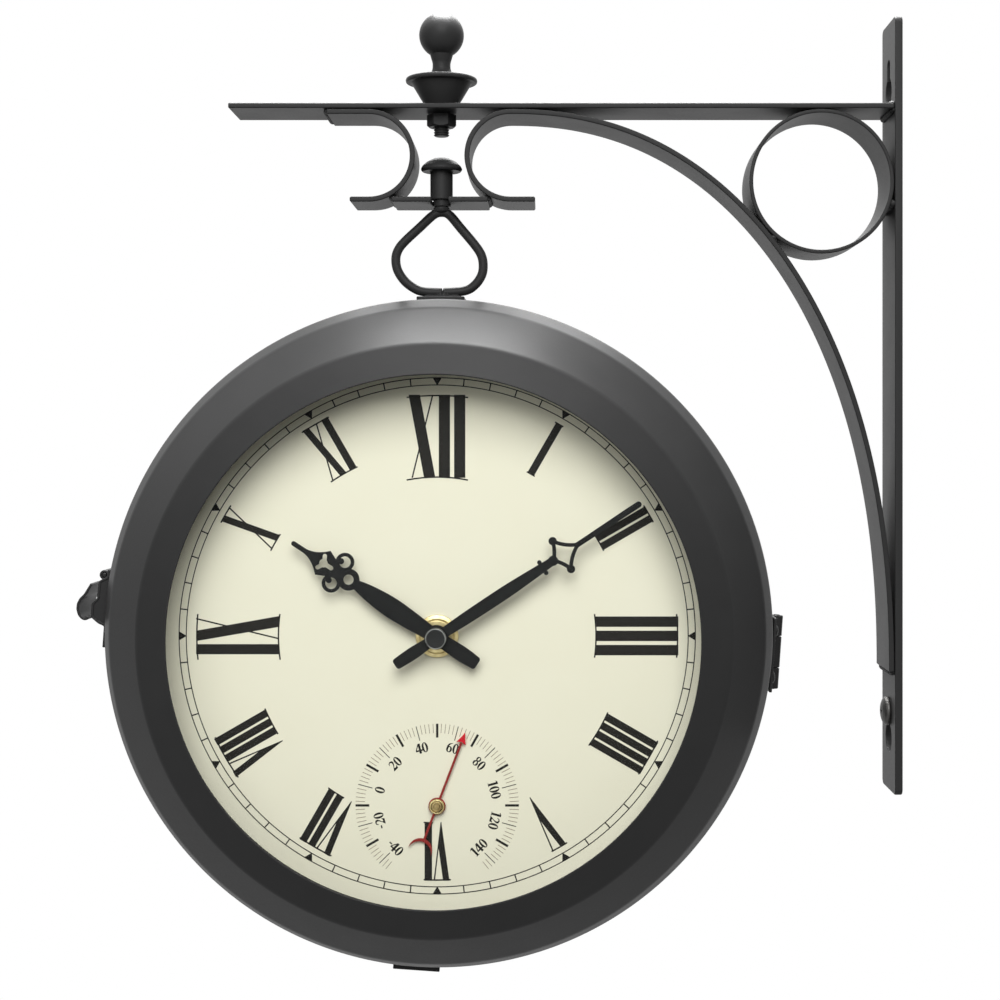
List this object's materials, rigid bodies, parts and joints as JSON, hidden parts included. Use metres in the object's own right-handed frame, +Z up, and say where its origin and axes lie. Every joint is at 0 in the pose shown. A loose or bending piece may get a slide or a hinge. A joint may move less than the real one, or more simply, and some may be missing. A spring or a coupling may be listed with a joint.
{
  "type": "double sided station clock",
  "caption": "Round clock with a dial, hands and thermometer on both faces, hung by a pin and wire loop from a scrolled steel wall bracket; the front half opens on a hinge.",
  "frame": {"origin": "centre of the wall plate's back face, on the wall", "axes": "+X into the wall, +Z up, +Y away from the viewer of the front dial; the front dial faces -Y and the rear dial faces +Y"},
  "size_m": [0.3178, 0.0996, 0.3722],
  "materials": {
    "powder_coat": "dark charcoal powder coat, fine satin grain",
    "dial": "printed ivory plate, satin",
    "glass": "clear flat glass",
    "black_paint": "matt black paint",
    "red_paint": "red paint",
    "brass": "turned brass",
    "steel": "zinc-plated steel",
    "rubber": "black rubber",
    "black_plastic": "moulded black plastic",
    "battery_wrap": "plain film sleeve"
  },
  "bodies": {
    "bracket": {"wall_plate": "powder_coat", "plate_screw": "steel", "top_arm": "powder_coat", "left_scroll": "powder_coat", "brace_scroll": "powder_coat", "lower_bar": "powder_coat", "bracket_ring": "powder_coat", "finial_knob": "powder_coat", "finial_cup": "powder_coat", "finial_nut": "powder_coat"},
    "clock": {"hanger_pin": "powder_coat", "hanger_loop": "powder_coat", "hanger_plate": "powder_coat", "hanger_rivet_1": "steel", "hanger_rivet_2": "steel", "rear_hinge_leaf": "powder_coat", "rear_hinge_rivet_1": "steel", "rear_hinge_rivet_2": "steel", "hinge_pin": "powder_coat", "latch_base": "powder_coat", "latch_pin": "steel", "latch_rivet": "steel", "bottom_clip": "powder_coat", "rear_shell": "powder_coat", "rear_gasket": "rubber", "rear_glass": "glass", "rear_spacer_ring": "black_paint", "rear_dial": "dial", "rear_retaining_ring": "steel", "rear_movement": "black_plastic", "rear_dial_nut": "brass", "rear_battery": "battery_wrap", "rear_thermometer": "steel"},
    "front_door": {"front_hinge_leaf": "powder_coat", "front_hinge_rivet_1": "steel", "front_hinge_rivet_2": "steel", "latch_keeper": "powder_coat", "front_shell": "powder_coat", "front_gasket": "rubber", "front_glass": "glass", "front_spacer_ring": "black_paint", "front_dial": "dial", "front_retaining_ring": "steel", "front_movement": "black_plastic", "front_dial_nut": "brass", "front_battery": "battery_wrap", "front_thermometer": "steel"},
    "latch_flap": {"latch_flap": "powder_coat"},
    "front_minute": {"front_minute_hand": "black_paint", "front_hand_cap": "black_paint"},
    "front_hour": {"front_hour_hand": "black_paint"},
    "front_set_knob": {"front_set_knob": "black_plastic"},
    "front_pointer": {"front_temperature_pointer": "red_paint", "front_pointer_cap": "brass"},
    "rear_minute": {"rear_minute_hand": "black_paint", "rear_hand_cap": "black_paint"},
    "rear_hour": {"rear_hour_hand": "black_paint"},
    "rear_set_knob": {"rear_set_knob": "black_plastic"},
    "rear_pointer": {"rear_temperature_pointer": "red_paint", "rear_pointer_cap": "brass"}
  },
  "joints": [
    {"name": "clock_swivel", "type": "hinge", "parent": "bracket", "child": "clock", "pos_m": [-0.178, 0, 0.07935], "axis": [0, 0, 1], "continuous": true},
    {"name": "front_door_hinge", "type": "hinge", "parent": "clock", "child": "front_door", "pos_m": [-0.04782, 0, -0.096], "axis": [0.0698, 0, 0.9976], "range_deg": [0, 80]},
    {"name": "latch_flap_hinge", "type": "hinge", "parent": "clock", "child": "latch_flap", "pos_m": [-0.31037, 0, -0.06612], "axis": [0, 1, 0], "range_deg": [0, 110]},
    {"name": "front_minute_turn", "type": "hinge", "parent": "front_door", "child": "front_minute", "pos_m": [-0.178, -0.0343, -0.0869], "axis": [0, 1, 0], "continuous": true},
    {"name": "front_hour_turn", "type": "hinge", "parent": "front_door", "child": "front_hour", "pos_m": [-0.178, -0.0319, -0.0869], "axis": [0, 1, 0], "continuous": true},
    {"name": "front_set_knob_turn", "type": "hinge", "parent": "front_door", "child": "front_set_knob", "pos_m": [-0.178, -0.0077, -0.0869], "axis": [0, 1, 0], "continuous": true},
    {"name": "front_pointer_turn", "type": "hinge", "parent": "front_door", "child": "front_pointer", "pos_m": [-0.178, -0.02835, -0.1506], "axis": [0, 1, 0], "range_deg": [-156, 114]},
    {"name": "rear_minute_turn", "type": "hinge", "parent": "clock", "child": "rear_minute", "pos_m": [-0.178, 0.0343, -0.0869], "axis": [0, -1, 0], "continuous": true},
    {"name": "rear_hour_turn", "type": "hinge", "parent": "clock", "child": "rear_hour", "pos_m": [-0.178, 0.0319, -0.0869], "axis": [0, -1, 0], "continuous": true},
    {"name": "rear_set_knob_turn", "type": "hinge", "parent": "clock", "child": "rear_set_knob", "pos_m": [-0.178, 0.0077, -0.0869], "axis": [0, -1, 0], "continuous": true},
    {"name": "rear_pointer_turn", "type": "hinge", "parent": "clock", "child": "rear_pointer", "pos_m": [-0.178, 0.02835, -0.1506], "axis": [0, -1, 0], "range_deg": [-156, 114]}
  ],
  "couplings": [
    {"joint": "front_hour_turn", "follows": "front_minute_turn", "ratio": 0.083333},
    {"joint": "front_set_knob_turn", "follows": "front_minute_turn", "ratio": 1},
    {"joint": "rear_hour_turn", "follows": "rear_minute_turn", "ratio": 0.083333},
    {"joint": "rear_set_knob_turn", "follows": "rear_minute_turn", "ratio": 1}
  ]
}
